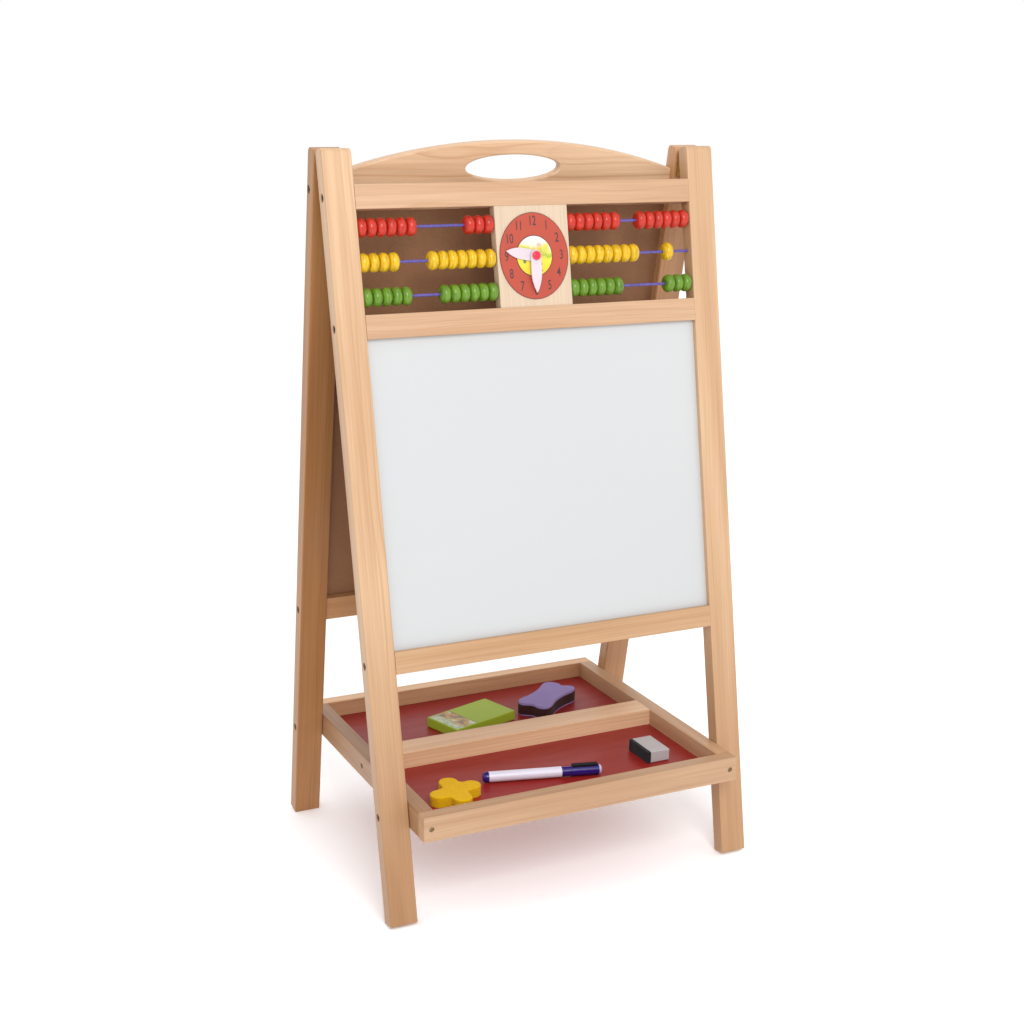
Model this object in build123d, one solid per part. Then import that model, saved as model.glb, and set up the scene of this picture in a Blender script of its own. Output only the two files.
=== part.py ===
"""Double-sided kids easel: whiteboard and abacus frame, chalkboard frame, tray and tray items.

Millimetres. X is the width, the whiteboard faces -Y and +Z is up. The floor is z = 0 and the
origin is the middle of the footprint. Each leaning frame is drawn upright with its inner face on
y = 0 and its top on z = 0, and is then tipped into place.
"""
import os
from math import cos, radians, sin

from build123d import *

# Leaning frames
LEAN = 10.8            # lean of each frame from the vertical, degrees
WIDTH = 456.0          # over the outer faces of the legs
LEG_W = 32.0           # leg width, along X
LEG_T = 18.0           # leg thickness
LEG_L = 813.0          # leg length along the slope
TOP_GAP = 3.2          # distance between the two frames' inner top edges
TOP_ROUND = 5.5        # rounding of the leg tops
EASE = 1.2             # easing of the leg edges
INNER_X = WIDTH / 2 - LEG_W
LEG_MID_X = WIDTH / 2 - LEG_W / 2
APEX_Z = LEG_L * cos(radians(LEAN))

# Heights below, measured down the slope from the top of the legs: (upper edge, lower edge)
TOP_RAIL = (35.4, 59.9)
MIDDLE_RAIL = (164.4, 188.9)
BOTTOM_RAIL = (513.5, 538.0)
REAR_RAIL = (515.0, 543.0)
REAR_RAIL_T = 15.6     # thickness of the rear rail, flush with the rear faces
RAIL_EASE = 0.8

# Boards
GROOVE = 5.0           # depth of the board grooves
WHITEBOARD = (8.5, 11.8)     # depth range behind the inner face
CHALKBOARD = (10.5, 13.5)
CHALK_SKIN = 0.4       # black chalk layer on the rear of the hardboard

# Handle board of the rear frame
HANDLE = (7.0, 18.0)   # depth range of the board
HANDLE_END_S = 24.0    # upper edge at the legs
HANDLE_RISE = 30.0     # rise of the arch above its ends
HANDLE_LOW_S = 60.0
HAND_HOLE = (112.0, 27.5)    # width and height
HAND_HOLE_S = 21.6

# Abacus and clock
ROD_R = 1.5
ROD_DEPTH = 9.0        # rod centre behind the inner face
ROD_S = (77.5, 112.2, 146.9)
ROD_SOCKET = 10.0      # length of rod inside each leg
BEAD_R = 9.7
BEAD_T = 10.6
BEAD_BORE = 1.9
BEAD_PITCH = 10.9
CLOCK_W = 86.0
CLOCK = (5.0, 17.0)    # depth range of the block
DIAL = (81.0, 90.0, 0.8)     # width, height, thickness
PICTURE = (21.0, 0.3)  # radius and thickness of the picture in the dial
SPINDLE_R = 2.0
HAND_RUN = 0.05        # radial running clearance of the hands
HAND_T = 1.5
HAND_W = 12.0
HOUR_L = 34.0
MINUTE_L = 38.5
HOUR_TURN = 280.0      # degrees clockwise from twelve o'clock
MINUTE_TURN = 181.5
CAP_R = 4.6

# Bolts and screws
BOLT_R = 2.5
BOLT_HEAD = (4.2, 2.4)       # radius and thickness
BOLT_SINK = 1.0        # head below the wood
BOLT_GRIP = 30.0       # bolt length inside a rail
SOCKET_R = 1.8
SCREW_R = 1.6
SCREW_HEAD = (3.3, 1.2)

# Tray screws
TRAY_SCREW_HEAD = (3.1, 1.6)     # radius and thickness
TRAY_SCREW_L = 38.0
TRAY_SCREW_SINK = 1.8            # head below the wood
TRAY_SCREW_CROSS = (4.2, 0.9, 0.8)   # length, width and depth of the slots

# Top hinges
HINGE_DROP = 3.0       # hinge line below the top of the legs
KNUCKLE_R = 2.2
PIN_R = 1.0
LEAF = (24.0, 6.0, 31.0, 1.0)    # width, top, bottom, thickness
KNUCKLES = 3
KNUCKLE_GAP = 0.35

# Tray
TRAY_TOP = 136.0
TRAY_H = 29.0
TRAY_FRONT = -190.5
TRAY_REAR = 180.0
TRAY_HALF = INNER_X - 0.5    # leaves the tray free to swing between the legs
TRAY_END_T = 17.0      # thickness of the front and rear rails
TRAY_SIDE_T = 17.5
TRAY_MIDDLE = (-21.5, 13.5)
PANEL_TOP = 116.5
PANEL_T = 3.0
ITEM_GAP = 0.3         # keeps the loose items just clear of the panels
TRAY_BOLT_Z = TRAY_TOP - TRAY_H / 2
TRAY_BOLT_S = (APEX_Z - TRAY_BOLT_Z + LEG_T / 2 * sin(radians(LEAN))) / cos(radians(LEAN))
TRAY_BOLT_Y = TOP_GAP / 2 + TRAY_BOLT_S * sin(radians(LEAN)) + LEG_T / 2 * cos(radians(LEAN))
PIVOT_RUN = 0.05       # radial running clearance of the tray on its front bolts
CENTRING = -(TRAY_FRONT + TRAY_REAR) / 2     # brings the middle of the footprint to the origin

# Tray items: place (x, y, turn in degrees) and size
CARTON_AT = (-22.0, 73.0, 17.5)
CARTON = (96.0, 56.0, 12.0)
FELT_ERASER_AT = (88.0, 83.0, 35.5)
FELT_ERASER_LAYERS = (1.5, 12.5, 3.0)    # lilac foot, dark felt, lilac top
SPONGE_AT = (-129.0, -121.2, 12.0)
SPONGE = (32.5, 11.0, 12.0)  # arm length, arm half width, height
SPONGE_SPREAD = 76.0   # angle between its two bars
MARKER_FROM = (-83.6, -94.4)
MARKER_TURN = -14.5
MARKER_R = 6.2
MARKER_L = 139.0
BOARD_ERASER_AT = (129.0, -104.5, 0.0)
BOARD_ERASER = (29.0, 45.0, 14.0)
BOARD_FELT = 4.0

FRONT_PLACE = Location((0, CENTRING - TOP_GAP / 2, APEX_Z), (-LEAN, 0, 0))
REAR_PLACE = Location((0, CENTRING + TOP_GAP / 2, APEX_Z), (LEAN, 0, 0))
TRAY_PLACE = Location((0, CENTRING, 0))
LEFT = -1
RIGHT = 1


def span(x, y, z):
    """A box between three pairs of limits."""
    low = (min(x), min(y), min(z))
    size = (abs(x[1] - x[0]), abs(y[1] - y[0]), abs(z[1] - z[0]))
    return Pos(*low) * Box(*size, align=(Align.MIN, Align.MIN, Align.MIN))


def eased(solid, axis, radius):
    """The solid with its long edges, those along the axis, rounded."""
    return fillet(solid.edges().filter_by(axis), radius)


def rod_x(x_from, x_to, y, z, radius):
    """A round bar along X."""
    length = abs(x_to - x_from)
    middle = (x_from + x_to) / 2
    return Pos(middle, y, z) * Rot(0, 90, 0) * Cylinder(radius, length)


def side_bolt(side, y, z, tip_x, sink=BOLT_SINK):
    """A socket-head bolt driven through a leg from its outer face to tip_x."""
    outer = WIDTH / 2 - sink
    head_inner = outer - BOLT_HEAD[1]
    shank = rod_x(side * head_inner, side * tip_x, y, z, BOLT_R)
    head = rod_x(side * outer, side * head_inner, y, z, BOLT_HEAD[0])
    socket = Pos(side * outer, y, z) * Rot(0, 90, 0) * extrude(
        RegularPolygon(SOCKET_R, 6), amount=1.3, both=True
    )
    return shank + head - socket


def side_bolt_hole(side, y, z, inner_x):
    """The hole for a side bolt: a shank hole and a pocket for the head."""
    pocket_floor = WIDTH / 2 - BOLT_SINK - BOLT_HEAD[1]
    shank = rod_x(side * WIDTH, side * inner_x, y, z, BOLT_R)
    pocket = rod_x(side * (WIDTH / 2 + 1), side * pocket_floor, y, z, BOLT_HEAD[0] + 0.2)
    return shank + pocket


def upright_leg(side, outward):
    """A leg with a rounded top and eased edges, standing below z = 0."""
    x = (side * INNER_X, side * WIDTH / 2)
    leg = span(x, (0, outward * LEG_T), (-LEG_L, 0))
    top_edges = leg.edges().filter_by(Axis.X).sort_by(Axis.Z)[-2:]
    leg = fillet(top_edges, TOP_ROUND)
    faces = leg.faces().filter_by(Axis.X)
    rims = [edge for face in faces for edge in face.outer_wire().edges()]
    return fillet(rims, EASE)


def board_groove(depth, s_range, outward):
    """The grooves round a board, as the board's own slab grown into the legs and rails."""
    x = (-INNER_X - GROOVE, INNER_X + GROOVE)
    y = (outward * depth[0], outward * depth[1])
    return span(x, y, (-s_range[1] - GROOVE, -s_range[0] + GROOVE))


def mid(pair):
    return (pair[0] + pair[1]) / 2


# Front frame ---------------------------------------------------------------------------------

FRONT_RAILS = {
    "front_top_rail": TOP_RAIL,
    "front_middle_rail": MIDDLE_RAIL,
    "front_bottom_rail": BOTTOM_RAIL,
}
FRONT_MID_Y = -LEG_T / 2


def whiteboard_slab():
    return board_groove(WHITEBOARD, (MIDDLE_RAIL[1], BOTTOM_RAIL[0]), -1)


def abacus_rods():
    """Three rods whose ends sit in the legs."""
    reach = INNER_X + ROD_SOCKET
    return [rod_x(-reach, reach, -ROD_DEPTH, -s, ROD_R) for s in ROD_S]


def front_bolts():
    """A bolt through each leg into each end of every rail."""
    tip = INNER_X - BOLT_GRIP
    sides = (LEFT, RIGHT)
    return [side_bolt(k, FRONT_MID_Y, -mid(s), tip) for s in FRONT_RAILS.values() for k in sides]


def front_leg(side):
    leg = upright_leg(side, -1) - whiteboard_slab()
    for s in FRONT_RAILS.values():
        leg -= side_bolt_hole(side, FRONT_MID_Y, -mid(s), 0)
    leg -= side_bolt_hole(side, FRONT_MID_Y, -TRAY_BOLT_S, 0)
    for rod in abacus_rods():
        leg -= rod
    for screw in hinge_screws(side, -1):
        leg -= screw
    return leg


def front_rail(s_range):
    rail = span((-INNER_X, INNER_X), (0, -LEG_T), (-s_range[1], -s_range[0]))
    rail = eased(rail, Axis.X, RAIL_EASE) - whiteboard_slab()
    bolt_reach = INNER_X - BOLT_GRIP
    for side in (LEFT, RIGHT):
        rail -= rod_x(side * INNER_X * 1.01, side * bolt_reach, FRONT_MID_Y, -mid(s_range), BOLT_R)
    return rail


def clock_block():
    block = span(
        (-CLOCK_W / 2, CLOCK_W / 2),
        (-CLOCK[0], -CLOCK[1]),
        (-MIDDLE_RAIL[0], -TOP_RAIL[1]),
    )
    block = eased(block, Axis.Z, RAIL_EASE)
    for rod in abacus_rods():
        block -= rod
    return block - clock_spindle_pin()


def on_clock(depth, thickness, sketch):
    """A flat piece on the clock face: the sketch is drawn as it is seen from the front."""
    plane = Plane(origin=(0, -depth, -ROD_S[1]), x_dir=(1, 0, 0), z_dir=(0, -1, 0))
    return extrude(plane * sketch, amount=thickness)


def clock_spindle_pin():
    return on_clock(12.0, 10.9, Circle(SPINDLE_R))


def clock_spindle():
    """The pin that carries the hands, with its round cap."""
    cap = fillet(on_clock(22.9, 2.6, Circle(CAP_R)).edges().sort_by(Axis.Y)[:1], 1.6)
    return clock_spindle_pin() + cap


def clock_dial():
    return on_clock(CLOCK[1], DIAL[2], Ellipse(DIAL[0] / 2, DIAL[1] / 2) - Circle(SPINDLE_R))


def clock_picture():
    return on_clock(CLOCK[1] + DIAL[2], PICTURE[1], Circle(PICTURE[0]) - Circle(SPINDLE_R))


def leaf_hand(length, depth, turn):
    """A leaf-shaped hand with a round hub, turned clockwise from twelve o'clock."""
    half = HAND_W / 2
    shoulder = length * 0.42
    outline = Line((half, 0), (half, shoulder))
    outline += ThreePointArc((half, shoulder), (half * 0.72, length * 0.74), (0, length))
    outline += ThreePointArc((0, length), (-half * 0.72, length * 0.74), (-half, shoulder))
    outline += Line((-half, shoulder), (-half, 0))
    outline += ThreePointArc((-half, 0), (0, -half), (half, 0))
    sketch = make_face(outline) - Circle(SPINDLE_R + HAND_RUN)
    return on_clock(depth, HAND_T, Rot(0, 0, -turn) * sketch)


# Beads ---------------------------------------------------------------------------------------

# colour: rod, then beads in each group from left to right
BEAD_GROUPS = {
    "red": (ROD_S[0], (6, 3, 6, 6)),
    "yellow": (ROD_S[1], (4, 7, 8, 1)),
    "green": (ROD_S[2], (5, 6, 6, 3)),
}
GROUP_PLACES = ("far_left", "mid_left", "mid_right", "far_right")
LONE_BEAD_X = 168.5
LEG_EASE_GAP = 0.3


def bead(x, s):
    """A round-edged wooden bead on its rod."""
    profile = Pos(0, -ROD_DEPTH) * RectangleRounded(BEAD_T, 2 * BEAD_R, BEAD_T * 0.46)
    half = profile & (Pos(0, -ROD_DEPTH - BEAD_R) * Rectangle(BEAD_T * 2, 2 * BEAD_R))
    turned = revolve(half, Axis((0, -ROD_DEPTH, 0), (1, 0, 0)), 360)
    turned -= rod_x(-BEAD_T, BEAD_T, -ROD_DEPTH, 0, BEAD_BORE)
    return Pos(x, 0, -s) * turned


def group_centres(place, count):
    """Bead centres of a group that is pushed against its leg or against the clock."""
    reach = LEG_EASE_GAP + BEAD_T / 2
    steps = [i * BEAD_PITCH for i in range(count)]
    if place == "far_left":
        return [-INNER_X + reach + d for d in steps]
    if place == "mid_left":
        return [-CLOCK_W / 2 - reach - d for d in steps]
    if place == "mid_right":
        return [CLOCK_W / 2 + reach + d for d in steps]
    if count == 1:
        return [LONE_BEAD_X]
    return [INNER_X - reach - d for d in steps]


def bead_nodes():
    nodes = {}
    for colour, (s, counts) in BEAD_GROUPS.items():
        for place, count in zip(GROUP_PLACES, counts):
            beads = [bead(x, s) for x in group_centres(place, count)]
            nodes[f"beads_{colour}_{place}"] = beads
    return nodes


# Rear frame ----------------------------------------------------------------------------------

HANDLE_MID_Y = mid(HANDLE)
HANDLE_BOLT_S = 42.0
REAR_RAIL_MID_Y = LEG_T - REAR_RAIL_T / 2


def chalkboard_slab():
    return board_groove(CHALKBOARD, (HANDLE_LOW_S, REAR_RAIL[0]), 1)


def rear_leg(side):
    leg = upright_leg(side, 1) - chalkboard_slab()
    leg -= side_bolt_hole(side, HANDLE_MID_Y, -HANDLE_BOLT_S, 0)
    leg -= side_bolt_hole(side, REAR_RAIL_MID_Y, -mid(REAR_RAIL), 0)
    leg -= side_bolt_hole(side, LEG_T / 2, -TRAY_BOLT_S, 0)
    for screw in hinge_screws(side, 1):
        leg -= screw
    return leg


def handle_board():
    """The arched board with the oval hand hole."""
    ends = -HANDLE_END_S
    arch = ThreePointArc((-INNER_X, ends), (0, ends + HANDLE_RISE), (INNER_X, ends))
    outline = arch + Polyline(
        (INNER_X, ends), (INNER_X, -HANDLE_LOW_S), (-INNER_X, -HANDLE_LOW_S), (-INNER_X, ends)
    )
    face = make_face(outline) - Pos(0, -HAND_HOLE_S) * Ellipse(HAND_HOLE[0] / 2, HAND_HOLE[1] / 2)
    plane = Plane(origin=(0, HANDLE[1], 0), x_dir=(1, 0, 0), z_dir=(0, -1, 0))
    board = extrude(plane * face, amount=HANDLE[1] - HANDLE[0])
    curved = [e for e in board.edges() if e.geom_type in (GeomType.CIRCLE, GeomType.ELLIPSE)]
    board = fillet(curved, 1.6) - chalkboard_slab()
    reach = INNER_X - BOLT_GRIP
    for side in (LEFT, RIGHT):
        board -= rod_x(side * WIDTH / 2, side * reach, HANDLE_MID_Y, -HANDLE_BOLT_S, BOLT_R)
    return board


def rear_rail():
    y = (LEG_T - REAR_RAIL_T, LEG_T)
    rail = span((-INNER_X, INNER_X), y, (-REAR_RAIL[1], -REAR_RAIL[0]))
    rail = eased(rail, Axis.X, RAIL_EASE) - chalkboard_slab()
    reach = INNER_X - BOLT_GRIP
    for side in (LEFT, RIGHT):
        rail -= rod_x(side * WIDTH / 2, side * reach, REAR_RAIL_MID_Y, -mid(REAR_RAIL), BOLT_R)
    return rail


def chalk_skin():
    """The black chalk layer, inside the frame's opening."""
    y = (CHALKBOARD[1], CHALKBOARD[1] + CHALK_SKIN)
    return span((-INNER_X, INNER_X), y, (-REAR_RAIL[0], -HANDLE_LOW_S))


def rear_bolts():
    tip = INNER_X - BOLT_GRIP
    bolts = []
    for side in (LEFT, RIGHT):
        bolts.append(side_bolt(side, HANDLE_MID_Y, -HANDLE_BOLT_S, tip))
        bolts.append(side_bolt(side, REAR_RAIL_MID_Y, -mid(REAR_RAIL), tip))
    return bolts


def rear_tray_bolts():
    """The tray's rear bolts, which end at the legs' inner faces so that the tray can swing."""
    return [side_bolt(side, LEG_T / 2, -TRAY_BOLT_S, INNER_X) for side in (LEFT, RIGHT)]


# Top hinges, drawn in each frame's own upright position ----------------------------------------

HINGE_Y = TOP_GAP / 2 * cos(radians(LEAN)) + HINGE_DROP * sin(radians(LEAN))
HINGE_S = HINGE_DROP * cos(radians(LEAN)) - TOP_GAP / 2 * sin(radians(LEAN))


def knuckle_spans(side, own):
    """X limits of this leaf's knuckles: the front leaf has the outer ones."""
    pitch = LEAF[0] / KNUCKLES
    start = side * LEG_MID_X - LEAF[0] / 2
    picks = range(0, KNUCKLES, 2) if own == "outer" else range(1, KNUCKLES, 2)
    return [(start + i * pitch + KNUCKLE_GAP, start + (i + 1) * pitch - KNUCKLE_GAP) for i in picks]


def screw_spots(side):
    return [(side * LEG_MID_X + dx, -s) for s in (13.0, 24.0) for dx in (-6.0, 6.0)]


def hinge_screws(side, outward):
    """Wood screws with low heads through a hinge leaf."""
    screws = []
    for x, z in screw_spots(side):
        shank = Pos(x, outward * 4.5, z) * Rot(90, 0, 0) * Cylinder(SCREW_R * 0.8, 11.0)
        head = Pos(x, -outward * (LEAF[3] + 0.2), z) * Rot(90, 0, 0) * Cylinder(2.4, 0.4)
        screws.append(shank + head)
    return screws


def hinge_leaf(side, outward, own):
    """A leaf screwed to the leg's inner face, with its knuckles rolled at the hinge line."""
    plate_x = (side * LEG_MID_X - LEAF[0] / 2, side * LEG_MID_X + LEAF[0] / 2)
    leaf = span(plate_x, (0, -outward * LEAF[3]), (-LEAF[2], -LEAF[1]))
    for x_from, x_to in knuckle_spans(side, own):
        leaf += span((x_from, x_to), (0, -outward * LEAF[3]), (-LEAF[1] - 1, -HINGE_S - 1))
        leaf += rod_x(x_from, x_to, -outward * HINGE_Y, -HINGE_S, KNUCKLE_R)
    bore = PIN_R if own == "middle" else PIN_R + 0.05
    leaf -= rod_x(plate_x[0] - 1, plate_x[1] + 1, -outward * HINGE_Y, -HINGE_S, bore)
    for screw in hinge_screws(side, outward):
        leaf -= screw
    return leaf


def hinge_pin(side):
    half = LEAF[0] / 2
    centre = side * LEG_MID_X
    return rod_x(centre - half, centre + half, -HINGE_Y, -HINGE_S, PIN_R)


# Tray ----------------------------------------------------------------------------------------

TRAY_Z = (TRAY_TOP - TRAY_H, TRAY_TOP)
SIDE_INNER = TRAY_HALF - TRAY_SIDE_T
FRONT_INNER = TRAY_FRONT + TRAY_END_T
REAR_INNER = TRAY_REAR - TRAY_END_T
SCREW_X = TRAY_HALF - TRAY_SIDE_T / 2


def panel(y_from, y_to):
    """A hardboard panel whose edges sit in the rails' grooves."""
    x = (-SIDE_INNER - GROOVE, SIDE_INNER + GROOVE)
    return span(x, (y_from - GROOVE, y_to + GROOVE), (PANEL_TOP - PANEL_T, PANEL_TOP))


def tray_panels():
    front = panel(FRONT_INNER, TRAY_MIDDLE[0])
    rear = panel(TRAY_MIDDLE[1], REAR_INNER)
    return front, rear


def tray_screw():
    """A cross-head screw, point down, with the top of its head at z = 0."""
    radius, thickness = TRAY_SCREW_HEAD
    length, width, depth = TRAY_SCREW_CROSS
    head = Pos(0, 0, -thickness / 2) * Cylinder(radius, thickness)
    shank = Pos(0, 0, -TRAY_SCREW_L / 2) * Cylinder(SCREW_R, TRAY_SCREW_L)
    slot = Box(length, width, 2 * depth)
    return head + shank - slot - Rot(0, 0, 90) * slot


def tray_screw_hole():
    """The bore for such a screw, with a pocket from the seat of its head to the wood's surface."""
    radius, thickness = TRAY_SCREW_HEAD
    depth = TRAY_SCREW_SINK + thickness
    pocket = Pos(0, 0, depth / 2 - thickness) * Cylinder(radius, depth)
    return pocket + Pos(0, 0, -TRAY_SCREW_L / 2) * Cylinder(SCREW_R, TRAY_SCREW_L)


def tray_screw_places():
    """Two screws in each end rail and one in each side rail, opposite the middle rail."""
    places = []
    for side in (LEFT, RIGHT):
        for y_face, inward in ((TRAY_FRONT, 1), (TRAY_REAR, -1)):
            y_head = y_face + inward * TRAY_SCREW_SINK
            places.append(Location((side * SCREW_X, y_head, TRAY_BOLT_Z), (90 * inward, 0, 0)))
        x_head = side * (TRAY_HALF - TRAY_SCREW_SINK)
        places.append(Location((x_head, mid(TRAY_MIDDLE), TRAY_BOLT_Z), (0, 90 * side, 0)))
    return places


def without_tray_screws(rail):
    for place in tray_screw_places():
        rail -= place * tray_screw_hole()
    return rail


def pivot_bore(side, y):
    return rod_x(side * (TRAY_HALF + 1), side * (TRAY_HALF - 12.5), y, TRAY_BOLT_Z, BOLT_R + PIVOT_RUN)


def tray_side(side):
    rail = span((side * SIDE_INNER, side * TRAY_HALF), (FRONT_INNER, REAR_INNER), TRAY_Z)
    rail = eased(rail, Axis.Y, RAIL_EASE)
    for slab in tray_panels():
        rail -= slab
    for y in (-TRAY_BOLT_Y, TRAY_BOLT_Y):
        rail -= pivot_bore(side, y)
    return without_tray_screws(rail)


def tray_end(y_from, y_to):
    rail = eased(span((-TRAY_HALF, TRAY_HALF), (y_from, y_to), TRAY_Z), Axis.X, RAIL_EASE)
    rail = eased(rail, Axis.Z, RAIL_EASE)
    for slab in tray_panels():
        rail -= slab
    return without_tray_screws(rail)


def tray_middle():
    rail = eased(span((-SIDE_INNER, SIDE_INNER), TRAY_MIDDLE, TRAY_Z), Axis.X, RAIL_EASE)
    for slab in tray_panels():
        rail -= slab
    return without_tray_screws(rail)


def tray_pivot_bolts():
    """The tray's front bolts, which carry it and let it swing."""
    bolts = []
    for side in (LEFT, RIGHT):
        tip = TRAY_HALF - 12.0
        bolts.append(side_bolt(side, FRONT_MID_Y, -TRAY_BOLT_S, tip))
    return bolts


# Tray items ----------------------------------------------------------------------------------

def placed(spot, solid):
    """The solid, drawn about the origin and on z = 0, set on a tray panel."""
    x, y, turn = spot
    return Pos(x, y, PANEL_TOP + ITEM_GAP) * Rot(0, 0, turn) * solid


def chalk_carton():
    box = Box(*CARTON, align=(Align.CENTER, Align.CENTER, Align.MIN))
    return placed(CARTON_AT, fillet(box.edges(), 0.8))


def bone_outline(grow=0.0):
    """The outline of the felt eraser: four round corners with hollow sides between them."""
    quarter = [(39.0, 0), (42.8, 12.0), (39.5, 20.0), (30.0, 22.3), (15.0, 19.4), (0, 18.2)]
    right = quarter + [(-x, y) for x, y in reversed(quarter[:-1])]
    loop = right[:-1] + [(-39.0, 0)] + [(x, -y) for x, y in reversed(right[1:-1])]
    points = [(x * (1 + grow / 40), y * (1 + grow / 20)) for x, y in loop]
    return make_face(Spline(points, periodic=True))


def felt_eraser():
    """Lilac foot, dark felt and lilac top, glued in a stack."""
    foot, felt, top = FELT_ERASER_LAYERS
    stack = {}
    lower = extrude(bone_outline(-0.3), amount=foot)
    body = Pos(0, 0, foot) * extrude(bone_outline(), amount=felt)
    cover = Pos(0, 0, foot + felt) * extrude(bone_outline(-0.3), amount=top)
    cover = fillet(cover.edges().group_by(Axis.Z)[-1], 1.0)
    stack["felt_eraser_foot"] = placed(FELT_ERASER_AT, lower)
    stack["felt_eraser_felt"] = placed(FELT_ERASER_AT, body)
    stack["felt_eraser_top"] = placed(FELT_ERASER_AT, cover)
    return stack


def sponge():
    """A slanted cross of two bars with round ends."""
    arm, half, height = SPONGE
    bar = SlotOverall(2 * arm, 2 * half)
    cross = bar + Rot(0, 0, SPONGE_SPREAD) * bar
    cross = fillet(cross.vertices().sort_by_distance((0, 0, 0))[:4], 5.0)
    block = extrude(cross, amount=height)
    return placed(SPONGE_AT, fillet(block.edges().group_by(Axis.Z)[-1], 1.5))


def marker_profile(points):
    """A turned piece of the marker from (along, radius) points."""
    outline = Polyline(*points, points[0])
    turned = revolve(Plane.XZ * make_face(outline), Axis.X, 360)
    x, y = MARKER_FROM
    return Pos(x, y, PANEL_TOP + ITEM_GAP + MARKER_R) * Rot(0, 0, MARKER_TURN) * turned


def marker():
    """White barrel with a plug, a stepped cap with a felt pad, and a pale cap end."""
    r = MARKER_R
    nodes = {}
    nodes["marker_plug"] = marker_profile(
        [(0, 0), (0, r - 2.6), (1.2, r - 1.0), (4.0, r - 0.2), (7.0, r - 0.1), (7.0, 0)]
    )
    nodes["marker_barrel"] = marker_profile(
        [(7.0, 0), (7.0, r), (91.5, r), (91.5, r - 1.6), (109.0, r - 1.6), (109.0, r - 3.4),
         (114.0, 1.5), (117.0, 0.8), (117.0, 0)]
    )
    cap_inner = r - 1.2
    cap = marker_profile(
        [(92.0, cap_inner), (92.0, r - 0.5), (103.0, r - 0.5), (103.5, r), (135.5, r), (135.5, 3.0),
         (122.0, 3.0), (122.0, cap_inner)]
    )
    nodes["marker_cap"] = cap
    nodes["marker_cap_end"] = marker_profile(
        [(126.0, 0), (126.0, 3.0), (135.5, 3.0), (135.5, r - 0.3), (137.6, r - 1.0), (MARKER_L, r - 3.0),
         (MARKER_L, 0)]
    )
    x, y = MARKER_FROM
    pad = span((104.0, 134.0), (-3.4, 3.4), (r - 0.9, r + 1.8))
    pad = Pos(x, y, PANEL_TOP + ITEM_GAP + r) * Rot(0, 0, MARKER_TURN) * pad
    nodes["marker_cap_pad"] = pad - cap
    return nodes


def board_eraser():
    """White block with a black felt on its left side."""
    length, depth, height = BOARD_ERASER
    low = -length / 2
    body = span((low + BOARD_FELT, length / 2), (-depth / 2, depth / 2), (0, height))
    felt = span((low, low + BOARD_FELT), (-depth / 2 + 0.4, depth / 2 - 0.4), (0.0, height - 0.4))
    round_edges = body.edges().filter_by(lambda edge: edge.center().X > low + BOARD_FELT + 0.1)
    body = fillet(round_edges, 1.2)
    return {
        "board_eraser_body": placed(BOARD_ERASER_AT, body),
        "board_eraser_felt": placed(BOARD_ERASER_AT, felt),
    }


# All nodes -----------------------------------------------------------------------------------

def front_frame_nodes():
    nodes = {
        "front_leg_left": front_leg(LEFT),
        "front_leg_right": front_leg(RIGHT),
        "whiteboard": whiteboard_slab(),
        "front_frame_bolts": front_bolts(),
        "tray_pivot_bolts": tray_pivot_bolts(),
        "abacus_rods": abacus_rods(),
        "clock_block": clock_block(),
        "clock_dial": clock_dial(),
        "clock_picture": clock_picture(),
        "clock_spindle": clock_spindle(),
        "clock_hour_hand": leaf_hand(HOUR_L, 18.5, HOUR_TURN),
        "clock_minute_hand": leaf_hand(MINUTE_L, 20.7, MINUTE_TURN),
        "hinge_leaves_front": [hinge_leaf(side, -1, "outer") for side in (LEFT, RIGHT)],
        "hinge_screws_front": hinge_screws(LEFT, -1) + hinge_screws(RIGHT, -1),
    }
    for name, s_range in FRONT_RAILS.items():
        nodes[name] = front_rail(s_range)
    nodes.update(bead_nodes())
    return nodes


def rear_frame_nodes():
    return {
        "rear_leg_left": rear_leg(LEFT),
        "rear_leg_right": rear_leg(RIGHT),
        "handle_board": handle_board(),
        "rear_bottom_rail": rear_rail(),
        "chalkboard": chalkboard_slab(),
        "chalk_surface": chalk_skin(),
        "rear_frame_bolts": rear_bolts(),
        "rear_tray_bolts": rear_tray_bolts(),
        "hinge_leaves_rear": [hinge_leaf(side, 1, "middle") for side in (LEFT, RIGHT)],
        "hinge_pins": [hinge_pin(side) for side in (LEFT, RIGHT)],
        "hinge_screws_rear": hinge_screws(LEFT, 1) + hinge_screws(RIGHT, 1),
    }


def tray_nodes():
    front, rear = tray_panels()
    nodes = {
        "tray_side_left": tray_side(LEFT),
        "tray_side_right": tray_side(RIGHT),
        "tray_front_rail": tray_end(TRAY_FRONT, FRONT_INNER),
        "tray_rear_rail": tray_end(REAR_INNER, TRAY_REAR),
        "tray_middle_rail": tray_middle(),
        "tray_panel_front": front,
        "tray_panel_rear": rear,
        "tray_screws": [place * tray_screw() for place in tray_screw_places()],
        "chalk_carton": chalk_carton(),
        "sponge": sponge(),
    }
    nodes.update(felt_eraser())
    nodes.update(marker())
    nodes.update(board_eraser())
    return nodes


def solids_of(item):
    """Every solid of a node that is drawn as one shape or as a list of shapes."""
    shapes = item if isinstance(item, list) else [item]
    return [solid for shape in shapes for solid in shape.solids()]


def write(nodes, place):
    for name, item in nodes.items():
        solids = [solid.moved(place) for solid in solids_of(item)]
        shape = solids[0] if len(solids) == 1 else Compound(children=solids)
        export_step(shape, f"parts/{name}.step")


def main():
    os.makedirs("parts", exist_ok=True)
    write(front_frame_nodes(), FRONT_PLACE)
    write(rear_frame_nodes(), REAR_PLACE)
    write(tray_nodes(), TRAY_PLACE)


main()
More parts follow.
